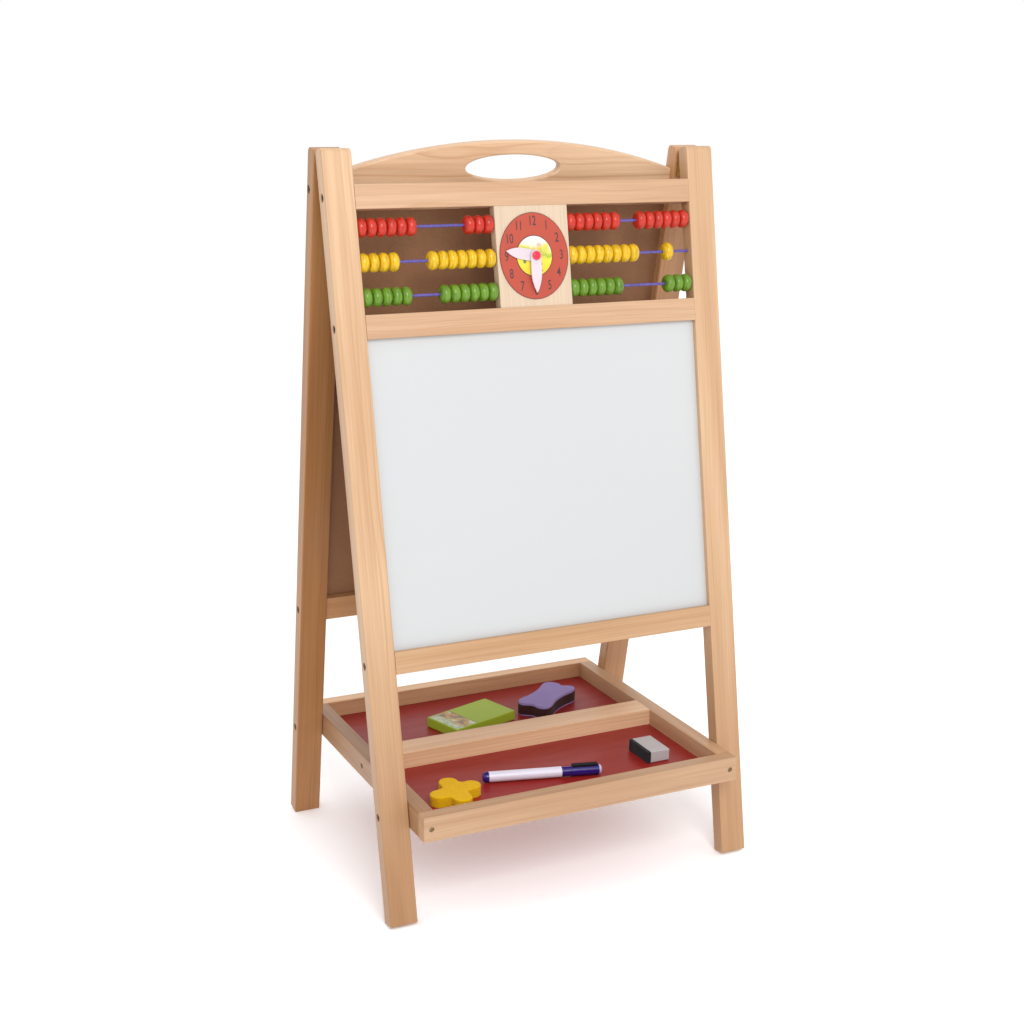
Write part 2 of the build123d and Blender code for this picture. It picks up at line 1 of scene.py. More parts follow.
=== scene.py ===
"""Looks of the kids easel: procedural wood, boards, beads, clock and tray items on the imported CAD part."""
from math import cos, pi, radians, sin

import bmesh
import bpy
from mathutils import Matrix, Vector


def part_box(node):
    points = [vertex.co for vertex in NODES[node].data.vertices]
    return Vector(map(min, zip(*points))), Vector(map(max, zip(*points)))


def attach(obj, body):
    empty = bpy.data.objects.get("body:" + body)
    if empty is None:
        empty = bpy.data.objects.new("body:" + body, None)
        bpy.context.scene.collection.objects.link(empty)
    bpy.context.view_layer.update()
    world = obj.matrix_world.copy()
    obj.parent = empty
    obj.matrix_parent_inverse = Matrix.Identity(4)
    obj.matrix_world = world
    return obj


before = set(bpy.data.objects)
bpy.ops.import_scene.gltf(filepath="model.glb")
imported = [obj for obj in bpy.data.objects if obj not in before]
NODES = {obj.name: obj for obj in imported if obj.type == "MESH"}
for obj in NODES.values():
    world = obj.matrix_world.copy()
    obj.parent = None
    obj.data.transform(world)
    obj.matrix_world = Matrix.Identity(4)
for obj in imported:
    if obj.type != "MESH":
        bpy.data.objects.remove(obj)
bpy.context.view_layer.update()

MM = 0.001
LEAN = radians(10.8)     # lean of both frames
CARTON_TURN = radians(17.5)
UP_THE_FRONT = Vector((0, sin(LEAN), cos(LEAN)))
OUT_OF_THE_FRONT = Vector((0, -cos(LEAN), sin(LEAN)))


def centre(node):
    """The middle of a CAD node's box at rest."""
    low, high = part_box(node)
    return (Vector(low) + Vector(high)) / 2


# Node helpers --------------------------------------------------------------------------------


class Shader:
    """A small wrapper that keeps node building short."""

    def __init__(self, name):
        self.material = bpy.data.materials.new(name)
        self.material.use_nodes = True
        self.tree = self.material.node_tree
        self.bsdf = self.tree.nodes["Principled BSDF"]

    def add(self, kind, **settings):
        node = self.tree.nodes.new(kind)
        for key, value in settings.items():
            setattr(node, key, value)
        return node

    def link(self, source, target):
        self.tree.links.new(source, target)

    def set(self, **values):
        for key, value in values.items():
            self.bsdf.inputs[key.replace("_", " ")].default_value = value
        return self

    def coords(self, rotation=(0, 0, 0), scale=(1, 1, 1), location=(0, 0, 0)):
        """Object coordinates, which are the part's own frame in metres."""
        source = self.add("ShaderNodeTexCoord")
        turn = self.add("ShaderNodeMapping")
        turn.inputs["Rotation"].default_value = rotation
        turn.inputs["Location"].default_value = location
        self.link(source.outputs["Object"], turn.inputs["Vector"])
        stretch = self.add("ShaderNodeMapping")
        stretch.inputs["Scale"].default_value = scale
        self.link(turn.outputs["Vector"], stretch.inputs["Vector"])
        return stretch.outputs["Vector"]

    def about(self, node, rotation=(0, 0, 0)):
        """Coordinates about the middle of a CAD node, turned by rotation."""
        source = self.add("ShaderNodeTexCoord")
        shift = self.add("ShaderNodeVectorMath", operation="SUBTRACT")
        shift.inputs[1].default_value = centre(node)
        self.link(source.outputs["Object"], shift.inputs[0])
        turn = self.add("ShaderNodeMapping")
        turn.inputs["Rotation"].default_value = rotation
        self.link(shift.outputs[0], turn.inputs["Vector"])
        return turn.outputs["Vector"]

    def stretched(self, vector, scale, location=(0, 0, 0)):
        """A vector scaled along each axis, which draws a texture out where the scale is small."""
        node = self.add("ShaderNodeMapping")
        node.inputs["Scale"].default_value = scale
        node.inputs["Location"].default_value = location
        self.link(vector, node.inputs["Vector"])
        return node.outputs["Vector"]

    def noise(self, vector, scale, detail=4.0, roughness=0.5, distortion=0.0):
        node = self.add("ShaderNodeTexNoise")
        node.inputs["Scale"].default_value = scale
        node.inputs["Detail"].default_value = detail
        node.inputs["Roughness"].default_value = roughness
        node.inputs["Distortion"].default_value = distortion
        self.link(vector, node.inputs["Vector"])
        return node.outputs["Fac"]

    def ramp(self, value, *stops):
        """A colour ramp; each stop is (position, colour or grey)."""
        node = self.add("ShaderNodeValToRGB")
        elements = node.color_ramp.elements
        while len(elements) < len(stops):
            elements.new(0.5)
        for element, (place, colour) in zip(elements, stops):
            element.position = place
            rgb = colour if isinstance(colour, tuple) else (colour, colour, colour)
            element.color = (*rgb, 1.0)
        self.link(value, node.inputs["Fac"])
        return node.outputs["Color"]

    def mix(self, factor, first, second, blend="MIX"):
        node = self.add("ShaderNodeMix", data_type="RGBA", blend_type=blend)
        for socket, value in ((node.inputs[0], factor), (node.inputs[6], first), (node.inputs[7], second)):
            if isinstance(value, bpy.types.NodeSocket):
                self.link(value, socket)
            elif isinstance(value, tuple):
                socket.default_value = (*value, 1.0)
            else:
                socket.default_value = value
        return node.outputs[2]

    def math(self, operation, first, second=0.0):
        node = self.add("ShaderNodeMath", operation=operation)
        for socket, value in zip(node.inputs, (first, second)):
            if isinstance(value, bpy.types.NodeSocket):
                self.link(value, socket)
            else:
                socket.default_value = value
        return node.outputs[0]

    def colour(self, value):
        self.link(value, self.bsdf.inputs["Base Color"])
        return self

    def rough(self, value):
        self.link(value, self.bsdf.inputs["Roughness"])
        return self

    def bump(self, height, strength, distance):
        node = self.add("ShaderNodeBump")
        node.inputs["Strength"].default_value = strength
        node.inputs["Distance"].default_value = distance
        self.link(height, node.inputs["Height"])
        self.link(node.outputs["Normal"], self.bsdf.inputs["Normal"])
        return self


def rgb(red, green, blue):
    """Linear colour from 0-255 display values."""
    return tuple(((v / 255 + 0.055) / 1.055) ** 2.4 if v > 10 else v / 3294.6 for v in (red, green, blue))


# Materials -----------------------------------------------------------------------------------

# Turns that bring a board's grain onto X.
GRAIN_X = (0, 0, 0)
GRAIN_Y = (0, 0, radians(-90))
GRAIN_FRONT_LEG = (LEAN, radians(90), 0)
GRAIN_REAR_LEG = (-LEAN, radians(90), 0)


def deeper(colour, *parts):
    """The colour with each channel scaled down."""
    return tuple(channel * part for channel, part in zip(colour, parts))


RING = 4.6 * MM          # usual spacing of the growth rings


def pine(node, grain, seed, early, foot=None, contrast=1.0):
    """Growth rings about a pith beside the board, long soft figure, fine fibres and a lacquer; with a foot
    colour, painted shade that darkens the board towards its lower end.
    """
    late_tone = deeper(early, 0.66, 0.50, 0.36)
    shade = deeper(early, 0.86, 0.80, 0.74)
    s = Shader("pine " + node)
    board = s.about(node, grain)
    shift = (seed * 3.1, seed * 1.7, seed * 0.9)
    warp = s.noise(s.stretched(board, (2.6, 14.0, 14.0), shift), 1.0, 2.0, 0.4)
    bend = s.noise(s.stretched(board, (7.0, 3.0, 3.0), shift), 1.0, 1.0, 0.4)
    split = s.add("ShaderNodeSeparateXYZ")
    s.link(board, split.inputs[0])
    pith_turn = seed * 2.4
    pith_distance = (34 + 9 * (seed % 4)) * MM
    across = s.math("SUBTRACT", split.outputs[1], pith_distance * cos(pith_turn))
    through = s.math("SUBTRACT", split.outputs[2], pith_distance * sin(pith_turn))
    squares = s.math("ADD", s.math("MULTIPLY", across, across), s.math("MULTIPLY", through, through))
    radius = s.math("SQRT", squares)
    swing = s.math("ADD", s.math("MULTIPLY", warp, 11 * MM), s.math("MULTIPLY", bend, 9 * MM))
    rings = s.math("DIVIDE", s.math("ADD", radius, swing), RING)
    uneven = s.add("ShaderNodeTexNoise", noise_dimensions="1D")
    uneven.inputs["Scale"].default_value = 0.42
    s.link(rings, uneven.inputs["W"])
    rings = s.math("ADD", rings, s.math("MULTIPLY", uneven.outputs["Fac"], 3.4))
    saw = s.math("FRACT", rings)
    late = s.ramp(saw, (0.0, 0.04), (0.10, 0.0), (0.64, 0.06), (0.85, 0.55), (0.92, 1.0), (0.98, 0.10))
    strength = s.add("ShaderNodeTexWhiteNoise", noise_dimensions="1D")
    s.link(s.math("ADD", s.math("FLOOR", rings), seed * 17.0), strength.inputs["W"])
    weight = s.math("POWER", strength.outputs["Value"], 1.8)
    weight = s.math("ADD", s.math("MULTIPLY", weight, 0.80 * contrast), 0.14 * contrast)
    fibres = s.noise(s.stretched(board, (10.0, 620.0, 620.0), shift), 1.0, 3.0, 0.6)
    streaks = s.noise(s.stretched(board, (2.0, 130.0, 130.0), shift), 1.0, 3.0, 0.55)
    slow = s.noise(s.stretched(board, (3.0, 30.0, 30.0), shift), 1.0, 2.0, 0.5)
    base = early
    # With a foot colour the board darkens towards its lower end: painted shade for the light falling off
    # towards the floor. The figure and ring tones are also made deeper for these boards.
    if foot:
        height = s.math("ADD", s.math("MULTIPLY", split.outputs[0], 1.25), 0.5)
        base = s.mix(s.ramp(height, (0.06, 0.0), (0.46, 1.0)), foot, early)
        shade = deeper(early, 0.80, 0.71, 0.62)
        late_tone = deeper(early, 0.62, 0.46, 0.34)
    base = s.mix(s.ramp(slow, (0.34, 0.0), (0.70, contrast)), base, shade)
    base = s.mix(s.ramp(streaks, (0.46, 0.0), (0.74, 0.36 * contrast)), base, late_tone)
    ringed = s.mix(s.math("MULTIPLY", late, weight), base, late_tone)
    s.colour(s.mix(0.9, ringed, s.ramp(fibres, (0.30, 0.89), (0.66, 1.04)), "MULTIPLY"))
    s.rough(s.ramp(fibres, (0.3, 0.50), (0.7, 0.38)))
    s.set(Coat_Weight=0.14, Coat_Roughness=0.3, Specular_IOR_Level=0.40)
    return s.bump(s.mix(0.6, fibres, late), 0.08, 0.0004).material


def hardboard():
    s = Shader("hardboard back")
    weave = s.noise(s.coords(scale=(900, 900, 900)), 1.0, 3.0, 0.7)
    blot = s.noise(s.coords(scale=(14, 14, 14)), 1.0, 4.0, 0.6)
    base = s.mix(blot, rgb(158, 114, 80), rgb(132, 90, 60))
    s.colour(s.mix(0.8, base, s.ramp(weave, (0.3, 0.72), (0.7, 1.12)), "MULTIPLY"))
    s.set(Roughness=0.75)
    return s.bump(weave, 0.25, 0.0006).material


def chalk_black():
    s = Shader("chalk surface")
    smear = s.noise(s.coords((0, 0, radians(12)), (5, 5, 18)), 1.0, 6.0, 0.62, 0.8)
    grit = s.noise(s.coords(scale=(1400, 1400, 1400)), 1.0, 2.0, 0.6)
    dust = s.math("MULTIPLY", s.ramp(smear, (0.45, 0.0), (0.80, 0.30)), grit)
    s.colour(s.mix(dust, rgb(30, 31, 32), rgb(150, 152, 154)))
    s.set(Roughness=0.85)
    return s.bump(grit, 0.15, 0.0002).material


def whiteboard():
    """White lacquer in front, raw hardboard on the edges and the back."""
    s = Shader("whiteboard")
    haze = s.noise(s.coords(scale=(3, 3, 7)), 1.0, 3.0, 0.5)
    peel = s.noise(s.coords(scale=(260, 260, 260)), 1.0, 2.0, 0.5)
    weave = s.noise(s.coords(scale=(900, 900, 900)), 1.0, 3.0, 0.7)
    white = s.mix(haze, rgb(187, 187, 187), rgb(183, 184, 185))
    brown = s.mix(weave, rgb(104, 73, 54), rgb(140, 102, 76))
    source = s.add("ShaderNodeTexCoord")
    split = s.add("ShaderNodeSeparateXYZ")
    s.link(source.outputs["Normal"], split.inputs[0])
    front = s.math("LESS_THAN", split.outputs[1], -0.5)
    s.colour(s.mix(front, brown, white))
    s.rough(s.math("SUBTRACT", 0.75, s.math("MULTIPLY", front, 0.55)))
    s.set(Specular_IOR_Level=0.5)
    return s.bump(peel, 0.04, 0.0002).material


def tray_red():
    s = Shader("tray panel red")
    streak = s.noise(s.coords(scale=(14, 60, 60)), 1.0, 5.0, 0.6)
    speck = s.noise(s.coords(scale=(500, 500, 500)), 1.0, 2.0, 0.5)
    base = s.mix(streak, rgb(152, 36, 31), rgb(134, 28, 25))
    s.colour(s.mix(0.5, base, s.ramp(speck, (0.3, 0.86), (0.7, 1.1)), "MULTIPLY"))
    s.rough(s.ramp(streak, (0.3, 0.34), (0.7, 0.46)))
    s.set(Specular_IOR_Level=0.32, Coat_Weight=0.06, Coat_Roughness=0.3)
    return s.bump(speck, 0.06, 0.0002).material


def painted_wood(name, colour, deep, seed):
    """Glossy paint over turned wood, with the grain just showing."""
    s = Shader(name)
    grain = s.noise(s.coords((0.0, 0.0, 0.1), (900, 110, 110), (seed, 0, 0)), 1.0, 3.0, 0.6)
    tone = s.noise(s.coords(scale=(60, 60, 60), location=(seed, seed, 0)), 1.0, 2.0, 0.5)
    base = s.mix(tone, colour, deep)
    s.colour(s.mix(0.8, base, s.ramp(grain, (0.34, 0.52), (0.58, 1.08)), "MULTIPLY"))
    s.rough(s.ramp(grain, (0.3, 0.36), (0.75, 0.48)))
    s.set(Coat_Weight=0.45, Coat_Roughness=0.08, Specular_IOR_Level=0.25)
    return s.bump(grain, 0.12, 0.0003).material


def plastic(name, colour, roughness, seed=0.0, speckle=0.04):
    """Moulded plastic with a faint flow tone and a fine grain."""
    s = Shader(name)
    tone = s.noise(s.coords(scale=(40, 40, 40), location=(seed, 0, 0)), 1.0, 3.0, 0.5)
    grain = s.noise(s.coords(scale=(1500, 1500, 1500)), 1.0, 2.0, 0.5)
    s.colour(s.mix(1.0, colour, s.ramp(tone, (0.3, 1.0 - speckle), (0.7, 1.0 + speckle)), "MULTIPLY"))
    s.rough(s.ramp(tone, (0.2, roughness), (0.8, roughness + 0.06)))
    return s.bump(grain, 0.04, 0.0001).material


def metal(name, colour, roughness, rust=0.25):
    s = Shader(name)
    wear = s.noise(s.coords(scale=(300, 300, 300)), 1.0, 4.0, 0.65)
    s.colour(s.mix(s.math("MULTIPLY", wear, rust), colour, rgb(60, 44, 32)))
    s.rough(s.ramp(wear, (0.3, roughness), (0.75, roughness + 0.2)))
    s.set(Metallic=1.0)
    return s.bump(wear, 0.08, 0.0002).material


def felt(name, colour, deep, layered=False):
    s = Shader(name)
    fuzz = s.noise(s.coords(scale=(1600, 1600, 1600)), 1.0, 4.0, 0.8)
    tone = s.noise(s.coords(scale=(90, 90, 700 if layered else 90)), 1.0, 3.0, 0.6)
    base = s.mix(tone, colour, deep)
    s.colour(s.mix(0.9, base, s.ramp(fuzz, (0.25, 0.6), (0.75, 1.35)), "MULTIPLY"))
    s.set(Roughness=0.95, Sheen_Weight=0.06, Sheen_Roughness=0.5, Specular_IOR_Level=0.12)
    return s.bump(s.mix(0.5, fuzz, tone), 0.5, 0.0008).material


def foam(name, colour, deep, pore_scale=420.0):
    s = Shader(name)
    pores = s.add("ShaderNodeTexVoronoi")
    pores.inputs["Scale"].default_value = pore_scale
    s.link(s.coords(), pores.inputs["Vector"])
    tone = s.noise(s.coords(scale=(70, 70, 70)), 1.0, 3.0, 0.6)
    base = s.mix(tone, colour, deep)
    # The pores are drawn darker at their middles: painted shade in the foam's hollows.
    s.colour(s.mix(0.55, base, s.ramp(pores.outputs["Distance"], (0.0, 0.66), (0.45, 1.06)), "MULTIPLY"))
    s.set(Roughness=0.9, Sheen_Weight=0.04, Sheen_Roughness=0.6, Specular_IOR_Level=0.15)
    return s.bump(pores.outputs["Distance"], 0.35, 0.0008).material


def card(name, colour, deep):
    s = Shader(name)
    fibre = s.noise(s.coords(scale=(500, 500, 500)), 1.0, 4.0, 0.7)
    tone = s.noise(s.coords(scale=(18, 18, 18)), 1.0, 3.0, 0.5)
    base = s.mix(tone, colour, deep)
    s.colour(s.mix(0.5, base, s.ramp(fibre, (0.3, 0.90), (0.7, 1.06)), "MULTIPLY"))
    s.set(Roughness=0.55)
    return s.bump(fibre, 0.08, 0.0002).material


def ink():
    """Dark printing ink with a slightly uneven cover."""
    s = Shader("printing ink")
    cover = s.noise(s.coords(scale=(700, 700, 700)), 1.0, 3.0, 0.6)
    s.colour(s.mix(cover, rgb(44, 34, 40), rgb(78, 46, 48)))
    s.set(Roughness=0.5)
    return s.bump(cover, 0.03, 0.0001).material


def dial_picture():
    """A generic printed landscape: a pale sky, a green slope and yellow ground with small dark marks."""
    s = Shader("dial picture")
    place = s.about("clock_picture")
    split = s.add("ShaderNodeSeparateXYZ")
    s.link(place, split.inputs[0])
    waves = s.noise(s.stretched(place, (90, 90, 90)), 1.0, 3.0, 0.5)
    height = s.math("ADD", s.math("DIVIDE", split.outputs[2], 42 * MM), s.math("MULTIPLY", waves, 0.55))
    height = s.math("ADD", height, 0.22)
    bands = s.ramp(height, (0.10, rgb(214, 190, 44)), (0.42, rgb(222, 200, 60)), (0.52, rgb(150, 168, 58)),
                   (0.68, rgb(206, 196, 84)), (0.76, rgb(226, 208, 190)), (0.95, rgb(216, 206, 206)))
    blobs = s.add("ShaderNodeTexVoronoi")
    blobs.inputs["Scale"].default_value = 105.0
    s.link(place, blobs.inputs["Vector"])
    tint = s.add("ShaderNodeSeparateColor")
    s.link(blobs.outputs["Color"], tint.inputs[0])
    dot = s.ramp(blobs.outputs["Distance"], (0.26, 1.0), (0.34, 0.0))
    shown = s.math("MULTIPLY", dot, s.ramp(tint.outputs[0], (0.60, 0.0), (0.64, 0.85)))
    dots = s.ramp(tint.outputs[1], (0.2, rgb(206, 112, 48)), (0.5, rgb(62, 120, 70)), (0.8, rgb(60, 52, 56)))
    s.colour(s.mix(shown, bands, dots))
    s.set(Roughness=0.42)
    return s.bump(waves, 0.03, 0.0001).material


def carton_label():
    """A generic printed label: a pale band, soft coloured patches and a dark edge."""
    s = Shader("carton label")
    flat = s.about("chalk_carton", (0, 0, -CARTON_TURN))
    split = s.add("ShaderNodeSeparateXYZ")
    s.link(flat, split.inputs[0])
    patches = s.noise(s.stretched(flat, (85, 60, 60), (3.0, 1.0, 0)), 1.0, 3.0, 0.55, 0.6)
    picture = s.ramp(patches, (0.30, rgb(70, 88, 112)), (0.40, rgb(120, 112, 92)), (0.50, rgb(196, 134, 70)),
                     (0.58, rgb(158, 160, 78)), (0.68, rgb(206, 196, 176)))
    fine = s.noise(s.stretched(flat, (500, 240, 240)), 1.0, 2.0, 0.5)
    pale = s.ramp(fine, (0.40, rgb(150, 168, 120)), (0.60, rgb(196, 202, 178)))
    side = s.math("ADD", split.outputs[0], s.math("MULTIPLY", patches, 6 * MM))
    mixed = s.mix(s.ramp(s.math("DIVIDE", side, -100 * MM), (0.30, 0.0), (0.34, 1.0)), picture, pale)
    edge = s.math("GREATER_THAN", split.outputs[0], -14.8 * MM)
    s.colour(s.mix(edge, mixed, rgb(76, 48, 34)))
    s.set(Roughness=0.4)
    return s.bump(fine, 0.03, 0.0001).material


def paint(material, *names):
    """Gives CAD nodes their material."""
    for name in names:
        NODES[name].data.materials.clear()
        NODES[name].data.materials.append(material)


# Pine tones per board, each set one by one to the board's brightness. They hold the wood's own colour and
# also painted light and shade. The top and middle rails, the handle and the tray's middle and rear rails are
# paler as painted light. The bottom rail and the rear left leg are darker as painted shade, for light that
# falls off downwards and into the tray.
PALE_PINE_WITH_PAINTED_LIGHT = rgb(194, 158, 126)
LOW_RAIL_PINE_WITH_PAINTED_SHADE = rgb(186, 148, 111)
LEG_PINE = rgb(201, 166, 131)
LEFT_FOOT_PAINTED_SHADE = rgb(150, 107, 67)
RIGHT_FOOT_PAINTED_SHADE = rgb(172, 131, 93)
BACK_PINE_WITH_PAINTED_SHADE = rgb(168, 120, 74)
BACK_RIGHT_PINE = rgb(194, 146, 104)
HANDLE_PINE_WITH_PAINTED_LIGHT = rgb(214, 180, 147)
TRAY_PINE = rgb(184, 148, 116)
TRAY_INNER_PINE_WITH_PAINTED_LIGHT = rgb(226, 186, 149)
TRAY_REAR_PINE_WITH_PAINTED_LIGHT = rgb(238, 194, 152)
TRAY_LEFT_PINE = rgb(166, 127, 94)
TRAY_RIGHT_PINE = rgb(200, 161, 126)
CLOCK_WOOD = rgb(198, 176, 152)


# Painted shade at the front legs' feet: the colours each leg darkens to towards the floor.
LEG_FEET_PAINTED_SHADE = {"front_leg_left": LEFT_FOOT_PAINTED_SHADE, "front_leg_right": RIGHT_FOOT_PAINTED_SHADE}


def paint_wood():
    boards = (
        ("front_leg_left", GRAIN_FRONT_LEG, LEG_PINE),
        ("front_leg_right", GRAIN_FRONT_LEG, LEG_PINE),
        ("rear_leg_left", GRAIN_REAR_LEG, BACK_PINE_WITH_PAINTED_SHADE),
        ("rear_leg_right", GRAIN_REAR_LEG, BACK_RIGHT_PINE),
        ("front_top_rail", GRAIN_X, PALE_PINE_WITH_PAINTED_LIGHT),
        ("front_middle_rail", GRAIN_X, PALE_PINE_WITH_PAINTED_LIGHT),
        ("front_bottom_rail", GRAIN_X, LOW_RAIL_PINE_WITH_PAINTED_SHADE),
        ("rear_bottom_rail", GRAIN_X, BACK_RIGHT_PINE),
        ("handle_board", GRAIN_X, HANDLE_PINE_WITH_PAINTED_LIGHT),
        ("tray_front_rail", GRAIN_X, TRAY_PINE),
        ("tray_middle_rail", GRAIN_X, TRAY_INNER_PINE_WITH_PAINTED_LIGHT),
        ("tray_rear_rail", GRAIN_X, TRAY_REAR_PINE_WITH_PAINTED_LIGHT),
        ("tray_side_left", GRAIN_Y, TRAY_LEFT_PINE),
        ("tray_side_right", GRAIN_Y, TRAY_RIGHT_PINE),
    )
    for seed, (node, grain, tone) in enumerate(boards, 1):
        paint(pine(node, grain, seed, tone, LEG_FEET_PAINTED_SHADE.get(node)), node)
    paint(pine("clock_block", GRAIN_FRONT_LEG, 15, CLOCK_WOOD, contrast=0.35), "clock_block")


def paint_boards():
    paint(hardboard(), "chalkboard")
    paint(chalk_black(), "chalk_surface")
    paint(whiteboard(), "whiteboard")
    paint(tray_red(), "tray_panel_front", "tray_panel_rear")


def paint_abacus():
    bead_paints = {
        "red": (rgb(198, 48, 28), rgb(176, 36, 22)),
        "yellow": (rgb(222, 182, 22), rgb(206, 158, 14)),
        "green": (rgb(104, 142, 34), rgb(84, 122, 28)),
    }
    for seed, (colour, tones) in enumerate(bead_paints.items()):
        material = painted_wood("bead " + colour, *tones, seed + 1)
        paint(material, *[n for n in NODES if n.startswith("beads_" + colour)])
    paint(painted_wood("rod violet", rgb(98, 86, 160), rgb(84, 72, 146), 7), "abacus_rods")
    paint(card("dial red", rgb(172, 66, 44), rgb(162, 58, 40)), "clock_dial")
    paint(dial_picture(), "clock_picture")
    paint(plastic("hand lilac", rgb(200, 184, 190), 0.42, 3.0), "clock_hour_hand", "clock_minute_hand")
    paint(plastic("cap red", rgb(226, 40, 62), 0.25, 4.0), "clock_spindle")


def paint_metal():
    bolt = metal("bolt steel", rgb(112, 104, 94), 0.45, 0.4)
    paint(bolt, "front_frame_bolts", "rear_frame_bolts", "rear_tray_bolts", "tray_pivot_bolts")
    screw = metal("screw steel", rgb(170, 150, 120), 0.35)
    paint(screw, "tray_screws", "hinge_screws_front", "hinge_screws_rear")
    brass = metal("hinge brass", rgb(214, 184, 112), 0.3, 0.12)
    paint(brass, "hinge_leaves_front", "hinge_leaves_rear", "hinge_pins")


def paint_items():
    paint(card("carton green", rgb(158, 180, 42), rgb(148, 170, 38)), "chalk_carton")
    lilac = foam("foam lilac", rgb(152, 134, 184), rgb(140, 122, 172), 700.0)
    paint(lilac, "felt_eraser_top", "felt_eraser_foot")
    paint(felt("felt brown", rgb(78, 46, 44), rgb(34, 18, 20), layered=True), "felt_eraser_felt")
    paint(foam("sponge yellow", rgb(216, 172, 8), rgb(206, 156, 5)), "sponge")
    paint(plastic("marker white", rgb(214, 208, 222), 0.26, 5.0, 0.02), "marker_barrel")
    paint(plastic("marker blue", rgb(38, 14, 104), 0.16, 6.0), "marker_plug", "marker_cap")
    paint(plastic("marker cap end", rgb(190, 178, 206), 0.3, 7.0), "marker_cap_end")
    paint(felt("marker pad", rgb(26, 20, 30), rgb(16, 12, 20)), "marker_cap_pad")
    paint(foam("eraser white", rgb(182, 175, 173), rgb(172, 165, 165), 900.0), "board_eraser_body")
    paint(felt("eraser felt", rgb(46, 44, 50), rgb(28, 26, 32)), "board_eraser_felt")


# Printed pieces ------------------------------------------------------------------------------

DIAL_HALF = Vector((40.5, 45.0)) * MM
PICTURE_R = 21.0 * MM
DIAL_FACE = 0.4 * MM     # from the middle of the dial's thickness to its face
PRINT = 0.08 * MM        # thickness of the numerals and the dial's rim line
RIM_LINE = 0.55 * MM     # width of the dial's rim line
BORDER = (0.65 * MM, 0.36 * MM)     # width and thickness of the ring round the picture
BORDER_REACH = 0.35 * MM            # how far that ring stands outside the picture
LABEL = ((-46.0, -14.0), (-26.0, 26.0), 0.12)     # along and across the carton, and thickness, mm
LABEL_BEVEL = 0.04 * MM
NUMERAL_H = 14.0 * MM
NUMERAL_SQUEEZE = 0.68
NUMERAL_WEIGHT = 0.12 * MM
NUMERAL_REACH = 0.80     # of the dial's half width and half height


def new_piece(name, mesh, body, material):
    """A piece made here, which rides on a body and takes its finish from a slot."""
    obj = bpy.data.objects.new(name, mesh)
    bpy.context.scene.collection.objects.link(obj)
    mesh.materials.clear()
    mesh.materials.append(material)
    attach(obj, body)
    return obj


def clock_place(across, up, out):
    """A matrix that stands a drawing on the clock: across, up the dial, and out from its face."""
    middle = centre("clock_dial") + Vector((across, 0, 0)) + up * UP_THE_FRONT + out * OUT_OF_THE_FRONT
    turn = Matrix((Vector((1, 0, 0)), UP_THE_FRONT, OUT_OF_THE_FRONT)).transposed()
    return Matrix.Translation(middle) @ turn.to_4x4()


def ring_mesh(name, half_x, half_y, width, thickness, steps=128):
    """A thin closed elliptical band, drawn in its own plane."""
    mesh = bmesh.new()
    rows = []
    for inset, height in ((0, 0), (0, thickness), (width, thickness), (width, 0)):
        loop = []
        for step in range(steps):
            angle = 2 * pi * step / steps
            across = (half_x - inset) * cos(angle)
            up = (half_y - inset) * sin(angle)
            loop.append(mesh.verts.new((across, up, height)))
        rows.append(loop)
    for row, following in zip(rows, rows[1:] + rows[:1]):
        for step in range(steps):
            after = (step + 1) % steps
            mesh.faces.new((row[step], row[after], following[after], following[step]))
    bmesh.ops.recalc_face_normals(mesh, faces=mesh.faces)
    result = bpy.data.meshes.new(name)
    mesh.to_mesh(result)
    mesh.free()
    return result


def numeral_mesh():
    """The numbers 1 to 12 round the dial, in condensed figures."""
    mesh = bmesh.new()
    for hour in range(1, 13):
        text = bpy.data.curves.new("numeral", "FONT")
        text.body = str(hour)
        text.size = NUMERAL_H
        text.extrude = PRINT / 2
        text.offset = NUMERAL_WEIGHT
        text.align_x = "CENTER"
        text.align_y = "CENTER"
        drawn = bpy.data.objects.new("numeral", text)
        flat = bpy.data.meshes.new_from_object(drawn)
        angle = radians(30 * hour)
        across = NUMERAL_REACH * DIAL_HALF.x * sin(angle)
        up = NUMERAL_REACH * DIAL_HALF.y * cos(angle)
        squeeze = Matrix.Diagonal((NUMERAL_SQUEEZE, 1, 1, 1))
        flat.transform(clock_place(across, up, DIAL_FACE + PRINT / 2) @ squeeze)
        mesh.from_mesh(flat)
        bpy.data.objects.remove(drawn)
        bpy.data.curves.remove(text)
        bpy.data.meshes.remove(flat)
    bmesh.ops.remove_doubles(mesh, verts=mesh.verts, dist=1e-6)
    result = bpy.data.meshes.new("clock_numerals")
    mesh.to_mesh(result)
    mesh.free()
    return result


def print_the_dial():
    dark = ink()
    new_piece("clock_numerals", numeral_mesh(), "front_frame", dark)
    rim = ring_mesh("dial_rim_line", DIAL_HALF.x, DIAL_HALF.y, RIM_LINE, PRINT)
    rim.transform(clock_place(0, 0, DIAL_FACE))
    new_piece("dial_rim_line", rim, "front_frame", dark)
    outer = PICTURE_R + BORDER_REACH
    border = ring_mesh("picture_rim_line", outer, outer, *BORDER)
    border.transform(clock_place(0, 0, DIAL_FACE))
    new_piece("picture_rim_line", border, "front_frame", dark)


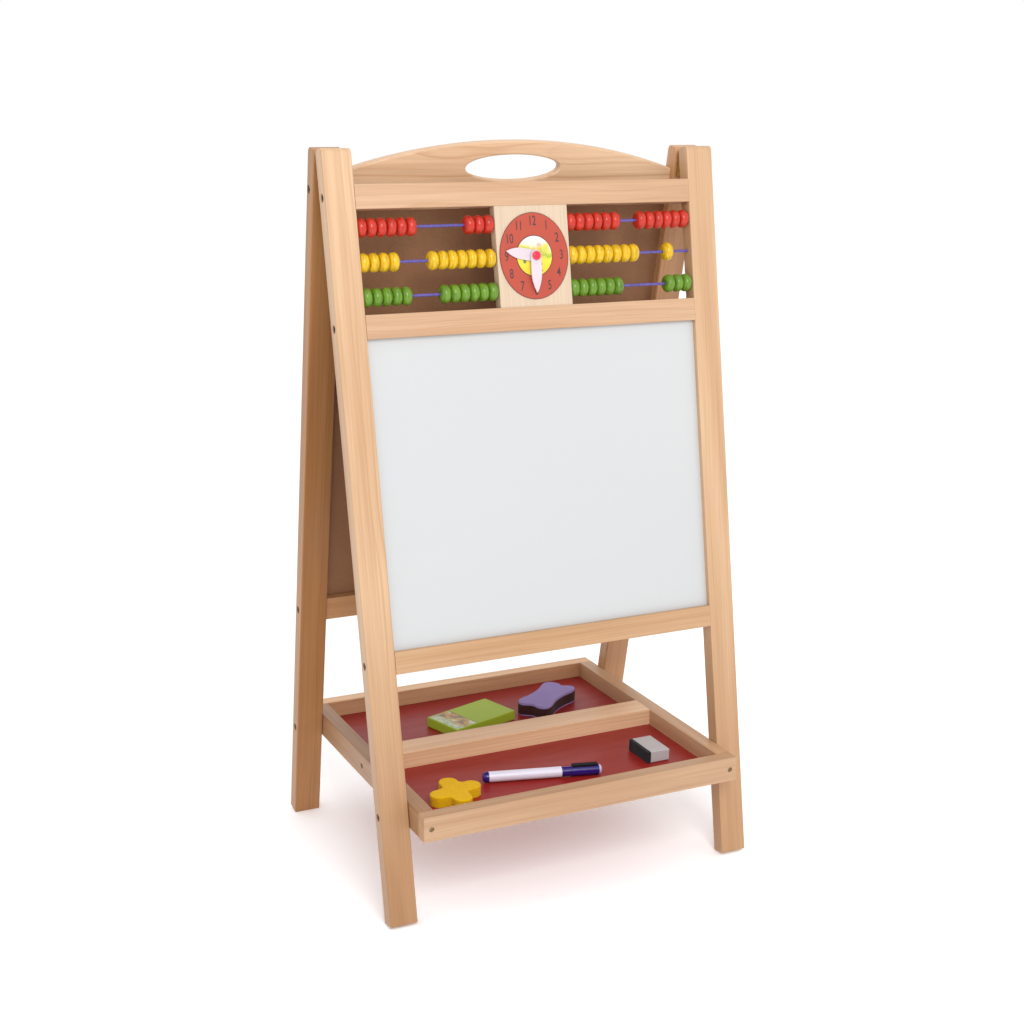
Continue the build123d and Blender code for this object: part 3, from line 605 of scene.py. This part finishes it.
def label_the_carton():
    (x_low, x_high), (y_low, y_high), thickness = LABEL
    middle = centre("chalk_carton")
    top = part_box("chalk_carton")[1][2]
    mesh = bmesh.new()
    bmesh.ops.create_cube(mesh, size=1.0)
    for vert in mesh.verts:
        along = x_low + (vert.co.x + 0.5) * (x_high - x_low)
        across = y_low + (vert.co.y + 0.5) * (y_high - y_low)
        vert.co = Vector((along, across, (vert.co.z + 0.5) * thickness)) * MM
    bmesh.ops.bevel(mesh, geom=mesh.edges, offset=LABEL_BEVEL, segments=1, affect="EDGES")
    result = bpy.data.meshes.new("carton_label")
    mesh.to_mesh(result)
    mesh.free()
    result.transform(Matrix.Translation((middle.x, middle.y, top)) @ Matrix.Rotation(CARTON_TURN, 4, "Z"))
    new_piece("carton_label", result, "chalk_carton", carton_label())


# Smooth shading ------------------------------------------------------------------------------

SHARP = radians(38)      # edges that turn by more than this stay sharp


def smooth(obj):
    """Smooth shading across the rounded edges, with the real corners kept sharp."""
    obj.data.shade_smooth()
    obj.data.set_sharp_from_angle(angle=SHARP)
    modifier = obj.modifiers.new("weighted", "WEIGHTED_NORMAL")
    modifier.keep_sharp = True


# Stage ---------------------------------------------------------------------------------------

def area_light(name, place, aim, size, power, colour=(1.0, 1.0, 1.0)):
    """A square light at a place, turned towards aim."""
    light = bpy.data.lights.new(name, "AREA")
    light.shape = "SQUARE"
    light.size = size
    light.energy = power
    light.color = colour
    obj = bpy.data.objects.new(name, light)
    bpy.context.scene.collection.objects.link(obj)
    obj.location = place
    obj.rotation_euler = (Vector(aim) - Vector(place)).to_track_quat("-Z", "Y").to_euler()


FLOOR_SIZE = 30.0
FLOOR_DROP = 0.5 * MM    # keeps the floor just clear of the feet
FLOOR_GLOW = 0.15        # lifts the floor to the white of the backdrop


def floor():
    bpy.ops.mesh.primitive_plane_add(size=FLOOR_SIZE, location=(0, 0, -FLOOR_DROP))
    plane = bpy.context.object
    plane.name = "floor"
    s = Shader("floor")
    tone = s.noise(s.coords(scale=(2, 2, 2)), 1.0, 2.0, 0.5)
    s.colour(s.mix(tone, rgb(250, 250, 250), rgb(246, 246, 246)))
    s.set(Roughness=0.9, Specular_IOR_Level=0.1, Emission_Color=(1, 1, 1, 1), Emission_Strength=FLOOR_GLOW)
    plane.data.materials.append(s.material)


def studio():
    """A white surround, a cool key light from the front, a weak fill and a weak top light."""
    world = bpy.data.worlds.new("studio")
    world.use_nodes = True
    background = world.node_tree.nodes["Background"]
    background.inputs["Color"].default_value = (1.0, 1.0, 1.0, 1.0)
    background.inputs["Strength"].default_value = 1.0
    bpy.context.scene.world = world
    area_light("key", (-0.45, -1.9, 1.75), (0, 0, 0.55), 1.0, 30, (0.97, 0.99, 1.0))
    area_light("fill", (1.9, -1.7, 1.3), (0, 0, 0.4), 1.6, 3)
    area_light("top", (0.2, 0.8, 2.4), (0, 0, 0.4), 1.6, 3)


def camera():
    """The photographer stood at the easel's front left, level with its top, with the lens shifted up."""
    data = bpy.data.cameras.new("camera")
    data.lens = 55.3
    data.sensor_width = 36.0
    data.shift_x = -0.0083
    data.shift_y = 0.1403
    obj = bpy.data.objects.new("camera", data)
    bpy.context.scene.collection.objects.link(obj)
    turn = Matrix.Rotation(radians(-26.22), 4, "Z") @ Matrix.Rotation(radians(90 - 19.94), 4, "X")
    turn = turn @ Matrix.Rotation(radians(0.69), 4, "Z")
    obj.matrix_world = Matrix.Translation((-0.7671, -1.5707, 0.8623)) @ turn
    bpy.context.scene.camera = obj


def main():
    paint_wood()
    paint_boards()
    paint_abacus()
    paint_metal()
    paint_items()
    print_the_dial()
    label_the_carton()
    for node in NODES.values():
        smooth(node)
    floor()
    studio()
    camera()
    scene = bpy.context.scene
    scene.view_settings.view_transform = "Standard"


main()
